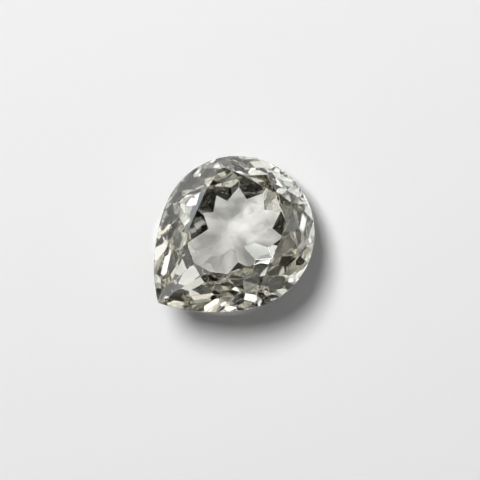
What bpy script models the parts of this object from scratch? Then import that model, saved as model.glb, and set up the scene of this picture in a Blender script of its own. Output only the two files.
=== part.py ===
"""A faceted zircon: a fat pear shape with a brilliant crown and a pavilion of kite facets in four rows.

The stone is cut as a lapidary cuts it. A rough with the pear outline is sawn, and then one flat facet
after another is taken off it. A facet is set by its index (the compass direction it faces, in degrees
from the round head), its slope against the girdle plane, and the place where its plane passes.
"""

import math

import bmesh
import bpy
from mathutils import Matrix, Vector

MM = 0.001

# Outline, seen from above the table. The head is round, and two flank arcs run on from it to the tip.
HEAD_RADIUS = 4.22 * MM
TIP_DISTANCE = 5.82 * MM
FLANK_RADIUS = 9.3 * MM
GIRDLE_STEPS = 64

# Heights above and below the middle of the girdle
GIRDLE_HEIGHT = 0.55 * MM
CROWN_HEIGHT = 1.60 * MM
CULET_DEPTH = 3.05 * MM

# Crown. The table is a smaller copy of the outline, moved off the middle towards one side
BEZEL_INDEXES = (0, 40, 90, 139, 180, 221, 270, 320)
TABLE_SHARE = 0.62
TABLE_OFFSET = 0.38 * MM
TABLE_OFFSET_INDEX = 40
STAR_SLOPE = 28
STAR_REACH = 0.57
UPPER_GIRDLE_RISE = 7
UPPER_GIRDLE_SHARE = 0.31

# Pavilion rows from the culet outwards: (slope, share of the outline's half-width where the row starts).
# Each row is turned by half a step from the one before. The point that they rise from lies a little
# towards the tip and is blunted by a tiny flat culet.
ROW_FACETS = 12
PAVILION_ROWS = ((22.0, 0.0), (27.0, 0.16), (33.5, 0.41), (42.0, 0.64))
LOWER_GIRDLE_SLOPE = 52
CULET_SHIFT = -0.34 * MM
CULET_WIDTH = 0.12 * MM

# The stone lies on its pavilion, leaning towards this index, where two facets of the first row meet one
# of the second
REST_INDEX = 45
REST_LEAN = 24.0

ZIRCON_COLOUR = (0.90, 0.90, 0.85, 1.0)


def clear_scene():
    for thing in list(bpy.data.objects):
        bpy.data.objects.remove(thing)


def outline_points(steps):
    """The pear outline as evenly spread points, head towards +X and tip at -X, counter-clockwise."""
    gap = FLANK_RADIUS - HEAD_RADIUS
    lean = math.asin((FLANK_RADIUS**2 - gap**2 - TIP_DISTANCE**2) / (2 * gap * TIP_DISTANCE))
    # Centre of the arc of the +Y flank, and the directions from it of the arc's two ends
    centre = Vector((gap * math.sin(lean), -gap * math.cos(lean)))
    start = math.pi / 2 + lean
    end = math.atan2(-centre.y, -TIP_DISTANCE - centre.x)
    head_length = HEAD_RADIUS * start
    flank_length = FLANK_RADIUS * (end - start)
    half = []
    for step in range(steps // 2 + 1):
        along = (head_length + flank_length) * step / (steps // 2)
        if along < head_length:
            angle = along / HEAD_RADIUS
            half.append(Vector((HEAD_RADIUS * math.cos(angle), HEAD_RADIUS * math.sin(angle))))
        else:
            angle = start + (along - head_length) / FLANK_RADIUS
            half.append(centre + FLANK_RADIUS * Vector((math.cos(angle), math.sin(angle))))
    return half + [Vector((p.x, -p.y)) for p in reversed(half[1:-1])]


def make_rough(outline):
    """A tall prism with the pear outline, its side walls the girdle."""
    rough = bmesh.new()
    low = [rough.verts.new((p.x, p.y, -2 * CULET_DEPTH)) for p in outline]
    floor = rough.faces.new(low)
    raised = bmesh.ops.extrude_face_region(rough, geom=[floor])["geom"]
    top = [v for v in raised if isinstance(v, bmesh.types.BMVert)]
    bmesh.ops.translate(rough, verts=top, vec=(0, 0, 4 * CULET_DEPTH))
    bmesh.ops.recalc_face_normals(rough, faces=rough.faces)
    return rough


def grind(stone, normal, point):
    """Takes off all that lies beyond the plane, and closes the stone with one flat facet."""
    everything = [*stone.verts, *stone.edges, *stone.faces]
    cut = bmesh.ops.bisect_plane(
        stone, geom=everything, dist=1e-9, plane_co=point, plane_no=normal, clear_outer=True
    )["geom_cut"]
    rim = [e for e in cut if isinstance(e, bmesh.types.BMEdge) and e.is_boundary]
    if rim:
        bmesh.ops.contextual_create(stone, geom=rim)


def facet(stone, outline, index, slope, reach, height, side, further=0.0):
    """One facet. Its plane passes at a share of the outline's half-width in its direction, at a height.

    side is +1 on the crown and -1 on the pavilion, and further is an extra distance outwards.
    """
    turn, tilt = math.radians(index), math.radians(slope)
    way = Vector((math.cos(turn), math.sin(turn)))
    half_width = max(p.dot(way) for p in outline)
    normal = Vector((math.sin(tilt) * way.x, math.sin(tilt) * way.y, side * math.cos(tilt)))
    out = reach * half_width + further
    grind(stone, normal, Vector((out * way.x, out * way.y, height)))


def table_move(index):
    """How far the table has moved towards this index."""
    return TABLE_OFFSET * math.cos(math.radians(index - TABLE_OFFSET_INDEX))


def bezel_slope(outline, index):
    """The slope that runs from the girdle to the table's edge in the direction of the index."""
    way = Vector((math.cos(math.radians(index)), math.sin(math.radians(index))))
    half_width = max(p.dot(way) for p in outline)
    return math.degrees(math.atan2(CROWN_HEIGHT, half_width * (1 - TABLE_SHARE) - table_move(index)))


def cut_crown(stone, outline):
    """The table, then eight bezels, a star between each two, and two upper girdle facets between them."""
    top = GIRDLE_HEIGHT / 2 + CROWN_HEIGHT
    grind(stone, Vector((0, 0, 1)), Vector((0, 0, top)))
    for index, after in zip(BEZEL_INDEXES, (*BEZEL_INDEXES[1:], 360)):
        gap = after - index
        facet(stone, outline, index, bezel_slope(outline, index), 1, GIRDLE_HEIGHT / 2, 1)
        star = index + gap / 2
        facet(stone, outline, star, STAR_SLOPE, STAR_REACH, top, 1, table_move(star))
        for share in (UPPER_GIRDLE_SHARE, 1 - UPPER_GIRDLE_SHARE):
            upper = index + gap * share
            slope = bezel_slope(outline, upper) + UPPER_GIRDLE_RISE
            facet(stone, outline, upper, slope, 1, GIRDLE_HEIGHT / 2, 1)


def cut_pavilion(stone, outline):
    """Four rows from the culet outwards, each starting where two facets of the row before meet, then the
    lower girdle facets and the culet itself."""
    step = 360 / ROW_FACETS
    narrow = math.cos(math.radians(step / 2))
    height, last_slope, last_reach = -CULET_DEPTH, 0, 0
    for row, (slope, reach) in enumerate(PAVILION_ROWS):
        rise = math.tan(math.radians(last_slope))
        height += rise * (reach * narrow - last_reach) * HEAD_RADIUS
        shift = CULET_SHIFT * max(0, 1 - row / 3)
        for number in range(ROW_FACETS):
            index = (number + row / 2) * step
            further = shift * math.cos(math.radians(index))
            facet(stone, outline, index, slope, reach, height, -1, further)
        last_slope, last_reach = slope, reach
    for number in range(2 * ROW_FACETS):
        index = (number / 2 + 1 / 4) * step
        facet(stone, outline, index, LOWER_GIRDLE_SLOPE, 1, -GIRDLE_HEIGHT / 2, -1)
    blunting = CULET_WIDTH / 2 * math.tan(math.radians(PAVILION_ROWS[0][0]))
    grind(stone, Vector((0, 0, -1)), Vector((0, 0, blunting - CULET_DEPTH)))


def lay_down(stone):
    """Leans the stone over until its resting side faces straight down, and stands it on Z = 0."""
    turn, tilt = math.radians(REST_INDEX), math.radians(REST_LEAN)
    facing = Vector((math.sin(tilt) * math.cos(turn), math.sin(tilt) * math.sin(turn), -math.cos(tilt)))
    roll = facing.rotation_difference(Vector((0, 0, -1))).to_matrix().to_4x4()
    bmesh.ops.transform(stone, matrix=roll, verts=stone.verts)
    lows = [min(v.co[axis] for v in stone.verts) for axis in range(3)]
    highs = [max(v.co[axis] for v in stone.verts) for axis in range(3)]
    to_origin = Vector(((lows[0] + highs[0]) / 2, (lows[1] + highs[1]) / 2, lows[2]))
    bmesh.ops.transform(stone, matrix=Matrix.Translation(-to_origin), verts=stone.verts)


def zircon_material():
    material = bpy.data.materials.new("zircon")
    material.use_nodes = True
    shader = material.node_tree.nodes["Principled BSDF"]
    shader.inputs["Base Color"].default_value = ZIRCON_COLOUR
    shader.inputs["Roughness"].default_value = 0.02
    shader.inputs["Metallic"].default_value = 0.0
    shader.inputs["Transmission Weight"].default_value = 1.0
    shader.inputs["IOR"].default_value = 1.96
    material.diffuse_color = ZIRCON_COLOUR
    return material


def make_zircon():
    outline = outline_points(GIRDLE_STEPS)
    stone = make_rough(outline)
    cut_crown(stone, outline)
    cut_pavilion(stone, outline)
    lay_down(stone)
    mesh = bpy.data.meshes.new("zircon")
    stone.to_mesh(mesh)
    stone.free()
    mesh.materials.append(zircon_material())
    zircon = bpy.data.objects.new("zircon", mesh)
    bpy.context.scene.collection.objects.link(zircon)
    return zircon


clear_scene()
make_zircon()
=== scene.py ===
"""A clear faceted zircon lying on a pale surface, seen from above, its round head to the upper right."""

import math

import bmesh
import bpy
from mathutils import Matrix, Vector


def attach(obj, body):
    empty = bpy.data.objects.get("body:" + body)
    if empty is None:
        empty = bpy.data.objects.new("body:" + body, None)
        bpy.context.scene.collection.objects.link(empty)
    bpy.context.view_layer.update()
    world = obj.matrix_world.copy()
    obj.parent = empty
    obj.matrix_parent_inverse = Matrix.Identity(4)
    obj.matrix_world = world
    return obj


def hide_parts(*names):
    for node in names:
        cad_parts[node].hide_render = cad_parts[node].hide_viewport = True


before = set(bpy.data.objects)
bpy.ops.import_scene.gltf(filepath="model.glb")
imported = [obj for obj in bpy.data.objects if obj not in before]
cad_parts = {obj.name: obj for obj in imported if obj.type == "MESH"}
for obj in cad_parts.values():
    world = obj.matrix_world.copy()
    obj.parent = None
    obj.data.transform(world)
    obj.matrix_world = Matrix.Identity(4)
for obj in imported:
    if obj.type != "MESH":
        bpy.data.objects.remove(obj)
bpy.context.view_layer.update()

MM = 0.001

# The picture, in pixels, degrees and metres: how many pixels it has across, how far the stone's head is
# turned up from its right, which way the table's upright leans in it and by how much, the width that it
# shows, how far back the camera is, and at which pixel the middle of the stone lies
PICTURE = 480
HEAD_TURN = 41.4
TABLE_LEANS_TOWARDS = 72.0
TABLE_LEAN = 5.0
PICTURE_WIDTH = 26.42 * MM
CAMERA_DISTANCE = 0.60
STONE_MIDDLE = (234.2, 234.4)

# Clear zircon with a faint olive body colour, and its edges just broken
REFRACTION = 1.96
BODY_COLOUR = (0.55, 0.50, 0.12, 1)
BODY_DENSITY = 22.0
EDGE_BREAK = 0.012 * MM

# Faint waves and drawn-out polishing lines on the facets: how fine, how high and how strong
WAVE_FINENESS = 500
WAVE_HEIGHT = 0.002 * MM
WAVE_STRENGTH = 0.4
LINE_FINENESS = 3000
LINE_STRETCH = (1, 9, 1)
LINE_TURN = (0.4, 0.3, 0.9)
LINE_HEIGHT = 0.0002 * MM
LINE_STRENGTH = 0.5

# Small dull nicks: how fine, the band of the pattern where they begin and are full, and the roughness
# outside and inside a nick on a polished facet and on the frosted girdle
NICK_FINENESS = 4000
NICK_BAND = (0.62, 0.70)
POLISHED = (0.0, 0.18)
FROSTED = (0.22, 0.40)

# Corners nearer to each other than the seam are one, and faces within the flat angle (degrees) are one
# facet. A facet is part of the girdle where its upright has less than this share along the table's
SEAM = 1e-7
FLAT_ANGLE = 0.05
GIRDLE_LEAN = 0.12

# The pale surface, out to this far from the middle
FLOOR_REACH = 1.5
FLOOR_COLOUR = (0.90, 0.90, 0.90, 1)
FLOOR_ROUGHNESS = 0.9

# A painted pool of light: the surface under the stone glows in soft patches, standing in for the light
# the stone would gather there. How strongly in the dim and the bright patches, how fine they are, the
# band of the pattern between dim and bright, where the pool's middle is, how far out from there it stays
# so, and where it ends
PAINTED_POOL_COLOUR = (0.92, 0.92, 0.90, 1)
PAINTED_POOL_DIM = 0.20
PAINTED_POOL_BRIGHT = 0.80
PAINTED_POOL_FINENESS = 700
PAINTED_POOL_BAND = (0.38, 0.62)
PAINTED_POOL_MIDDLE = (-0.85 * MM, -0.85 * MM, 0.0)
PAINTED_POOL_REACH = 2.8 * MM
PAINTED_POOL_END = 4.2 * MM

# The room, as dark and light patches round the stone, and the band of the pattern between the two
ROOM_DARK = 0.005
ROOM_LIGHT = 0.48
ROOM_FINENESS = 9.0
ROOM_BAND = (0.54, 0.62)

# Soft lights: picture direction (right, up, towards the camera), size across, strength and tint. The
# window and the fill light the surface alone, and the stone shows the pane and the cards instead
LIGHT_DISTANCE = 0.40
NEUTRAL = (1.0, 1.0, 1.0)
WARM = (1.0, 0.95, 0.86)
COOL = (0.88, 0.95, 1.0)
SURFACE_LIGHTS = {
    "window": ((-0.24, 0.26, 0.935), 0.13, 38.5, NEUTRAL),
    "fill": ((0.0, 0.0, 1.0), 0.50, 0.5, NEUTRAL),
}
STONE_LIGHTS = {
    "pane": ((-0.24, 0.26, 0.935), 0.20, 1.5, NEUTRAL),
    "card_far": ((0.21, 0.64, 0.74), 0.22, 1.1, NEUTRAL),
    "card_far_right": ((0.54, 0.39, 0.74), 0.22, 1.1, WARM),
    "card_left": ((-0.67, 0.0, 0.74), 0.26, 0.9, NEUTRAL),
    "card_near": ((-0.21, -0.64, 0.74), 0.26, 0.8, COOL),
    "card_right": ((0.67, 0.0, 0.74), 0.26, 0.8, WARM),
    "low_near_left": ((-0.73, -0.53, 0.44), 0.24, 1.4, NEUTRAL),
    "low_left": ((-0.90, 0.0, 0.44), 0.24, 0.5, NEUTRAL),
    "low_far_left": ((-0.73, 0.53, 0.44), 0.24, 2.5, COOL),
}


def picture_axes(mesh):
    """The picture's right, up and towards-the-camera directions, from the way the table faces."""
    table = max(mesh.polygons, key=lambda face: face.area).normal
    level = table.rotation_difference(Vector((0, 0, 1))).to_matrix()
    leans = math.radians(TABLE_LEANS_TOWARDS)
    hinge = Vector((-math.sin(leans), math.cos(leans), 0))
    tip = Matrix.Rotation(math.radians(TABLE_LEAN), 3, hinge)
    return (tip @ Matrix.Rotation(math.radians(HEAD_TURN), 3, "Z") @ level)[:]


def place_camera(stone):
    """Stands back along the line of sight, with the stone's outline where the picture has it."""
    corners = [v.co for v in stone.data.vertices]
    across = [c.dot(RIGHT) for c in corners]
    along = [c.dot(UP) for c in corners]
    scale = PICTURE_WIDTH / PICTURE
    right = (min(across) + max(across)) / 2 - (STONE_MIDDLE[0] - PICTURE / 2) * scale
    up = (min(along) + max(along)) / 2 + (STONE_MIDDLE[1] - PICTURE / 2) * scale
    camera = bpy.data.objects.new("camera", bpy.data.cameras.new("camera"))
    camera.data.lens = camera.data.sensor_width * CAMERA_DISTANCE / PICTURE_WIDTH
    camera.data.clip_start = 0.01
    camera.data.clip_end = 5
    turn = Matrix((RIGHT, UP, TOWARDS)).transposed().to_4x4()
    camera.matrix_world = Matrix.Translation(RIGHT * right + UP * up + TOWARDS * CAMERA_DISTANCE) @ turn
    bpy.context.scene.collection.objects.link(camera)
    bpy.context.scene.camera = camera


def add_object(name, shape):
    mesh = bpy.data.meshes.new(name)
    shape.to_mesh(mesh)
    shape.free()
    piece = bpy.data.objects.new(name, mesh)
    bpy.context.scene.collection.objects.link(piece)
    return piece


def new_material(name):
    material = bpy.data.materials.new(name)
    material.use_nodes = True
    return material, material.node_tree.nodes, material.node_tree.links


def noise(nodes, links, scale, stretch=(1, 1, 1), turn=(0, 0, 0)):
    """A soft random pattern in the object's own space, drawn out along one way by the stretch."""
    place = nodes.new("ShaderNodeTexCoord")
    drawn = nodes.new("ShaderNodeMapping")
    drawn.inputs["Rotation"].default_value = turn
    drawn.inputs["Scale"].default_value = stretch
    pattern = nodes.new("ShaderNodeTexNoise")
    pattern.inputs["Scale"].default_value = scale
    pattern.inputs["Detail"].default_value = 3.0
    links.new(place.outputs["Object"], drawn.inputs["Vector"])
    links.new(drawn.outputs["Vector"], pattern.inputs["Vector"])
    return pattern.outputs["Fac"]


def ramp(nodes, links, value, low, high, start, end):
    """Turns a value from low to high into one from start to end, and holds it there outside."""
    band = nodes.new("ShaderNodeMapRange")
    band.inputs["From Min"].default_value = low
    band.inputs["From Max"].default_value = high
    band.inputs["To Min"].default_value = start
    band.inputs["To Max"].default_value = end
    links.new(value, band.inputs["Value"])
    return band.outputs["Result"]


def zircon_surface(name, roughness):
    """Clear zircon with slightly wavy facets, polishing lines and small dull nicks."""
    material, nodes, links = new_material(name)
    shader = nodes["Principled BSDF"]
    shader.inputs["Base Color"].default_value = (1, 1, 1, 1)
    shader.inputs["Transmission Weight"].default_value = 1.0
    shader.inputs["IOR"].default_value = REFRACTION
    nicks = noise(nodes, links, NICK_FINENESS)
    links.new(ramp(nodes, links, nicks, *NICK_BAND, *roughness), shader.inputs["Roughness"])
    waves = nodes.new("ShaderNodeBump")
    waves.inputs["Strength"].default_value = WAVE_STRENGTH
    waves.inputs["Distance"].default_value = WAVE_HEIGHT
    links.new(noise(nodes, links, WAVE_FINENESS), waves.inputs["Height"])
    lines = nodes.new("ShaderNodeBump")
    lines.inputs["Strength"].default_value = LINE_STRENGTH
    lines.inputs["Distance"].default_value = LINE_HEIGHT
    links.new(noise(nodes, links, LINE_FINENESS, LINE_STRETCH, LINE_TURN), lines.inputs["Height"])
    links.new(waves.outputs["Normal"], lines.inputs["Normal"])
    links.new(lines.outputs["Normal"], shader.inputs["Normal"])
    body = nodes.new("ShaderNodeVolumeAbsorption")
    body.inputs["Color"].default_value = BODY_COLOUR
    body.inputs["Density"].default_value = BODY_DENSITY
    links.new(body.outputs["Volume"], nodes["Material Output"].inputs["Volume"])
    return material


def dress_stone(node):
    """The cut stone: every facet one clean face, every edge just broken, the girdle band left frosted."""
    stone = bmesh.new()
    stone.from_mesh(node.data)
    bmesh.ops.remove_doubles(stone, verts=stone.verts, dist=SEAM)
    flat = math.radians(FLAT_ANGLE)
    bmesh.ops.dissolve_limit(stone, angle_limit=flat, verts=stone.verts, edges=stone.edges)
    table = max(stone.faces, key=lambda face: face.calc_area()).normal.copy()
    for face in stone.faces:
        face.material_index = int(abs(face.normal.dot(table)) < GIRDLE_LEAN)
    bmesh.ops.bevel(
        stone, geom=stone.edges, offset=EDGE_BREAK, offset_type="OFFSET", segments=1, profile=0.5,
        affect="EDGES", clamp_overlap=False, material=-1,
    )
    piece = add_object("zircon_stone", stone)
    piece.data.materials.append(zircon_surface("polished_facets", POLISHED))
    piece.data.materials.append(zircon_surface("frosted_girdle", FROSTED))
    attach(piece, "root")
    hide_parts("zircon")
    return piece


def painted_light_pool(nodes, links):
    """The strength of the painted pool of light under the stone, a glow that no lamp casts: soft patches
    that fade out all round.
    """
    place = nodes.new("ShaderNodeTexCoord")
    away = nodes.new("ShaderNodeVectorMath")
    away.operation = "DISTANCE"
    away.inputs[1].default_value = PAINTED_POOL_MIDDLE
    links.new(place.outputs["Object"], away.inputs[0])
    patches = ramp(nodes, links, noise(nodes, links, PAINTED_POOL_FINENESS), *PAINTED_POOL_BAND, PAINTED_POOL_DIM, PAINTED_POOL_BRIGHT)
    fade = ramp(nodes, links, away.outputs["Value"], PAINTED_POOL_REACH, PAINTED_POOL_END, 1.0, 0.0)
    glow = nodes.new("ShaderNodeMath")
    glow.operation = "MULTIPLY"
    links.new(patches, glow.inputs[0])
    links.new(fade, glow.inputs[1])
    return glow.outputs["Value"]


def lay_floor():
    """A plain pale surface, glowing in a painted pool of light under the stone."""
    shape = bmesh.new()
    bmesh.ops.create_grid(shape, x_segments=1, y_segments=1, size=FLOOR_REACH)
    floor = add_object("floor", shape)
    material, nodes, links = new_material("pale_surface")
    shader = nodes["Principled BSDF"]
    shader.inputs["Base Color"].default_value = FLOOR_COLOUR
    shader.inputs["Roughness"].default_value = FLOOR_ROUGHNESS
    # Painted light: the surface glows under the stone, in a pool that stands in for the light the stone
    # gathers there
    shader.inputs["Emission Color"].default_value = PAINTED_POOL_COLOUR
    links.new(painted_light_pool(nodes, links), shader.inputs["Emission Strength"])
    floor.data.materials.append(material)


def hang_lights(lights, in_stone):
    """Hangs soft disks round the stone, which either show in the stone or light the surface."""
    for name, (direction, size, strength, tint) in lights.items():
        lamp = bpy.data.lights.new(name, "AREA")
        lamp.shape = "DISK"
        lamp.size = size
        lamp.color = tint
        # With these watts a disk of any size is equally bright to look at
        lamp.energy = strength * math.pi * (math.pi * (size / 2) ** 2)
        light = bpy.data.objects.new(name, lamp)
        way = (RIGHT * direction[0] + UP * direction[1] + TOWARDS * direction[2]).normalized()
        facing = way.to_track_quat("Z", "Y").to_matrix().to_4x4()
        light.matrix_world = Matrix.Translation(way * LIGHT_DISTANCE) @ facing
        light.visible_camera = False
        light.visible_diffuse = not in_stone
        light.visible_glossy = in_stone
        light.visible_transmission = in_stone
        bpy.context.scene.collection.objects.link(light)


def set_room():
    """A dim room with lighter patches, which shows in the stone and leaves the surface alone."""
    world = bpy.data.worlds.new("room")
    bpy.context.scene.world = world
    world.use_nodes = True
    nodes, links = world.node_tree.nodes, world.node_tree.links
    place = nodes.new("ShaderNodeTexCoord")
    pattern = nodes.new("ShaderNodeTexNoise")
    pattern.inputs["Scale"].default_value = ROOM_FINENESS
    links.new(place.outputs["Generated"], pattern.inputs["Vector"])
    patches = ramp(nodes, links, pattern.outputs["Fac"], *ROOM_BAND, ROOM_DARK, ROOM_LIGHT)
    links.new(patches, nodes["Background"].inputs["Strength"])
    nodes["Background"].inputs["Color"].default_value = (1, 1, 1, 1)
    world.cycles_visibility.diffuse = False


def set_light_paths():
    """Enough bounces for light to find its way through the stone, and plain colours."""
    scene = bpy.context.scene
    scene.cycles.max_bounces = 24
    scene.cycles.transmission_bounces = 24
    scene.cycles.glossy_bounces = 12
    scene.cycles.sample_clamp_indirect = 0
    scene.view_settings.view_transform = "Standard"


stone = dress_stone(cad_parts["zircon"])
RIGHT, UP, TOWARDS = picture_axes(stone.data)
place_camera(stone)
lay_floor()
hang_lights(SURFACE_LIGHTS, in_stone=False)
hang_lights(STONE_LIGHTS, in_stone=True)
set_room()
set_light_paths()
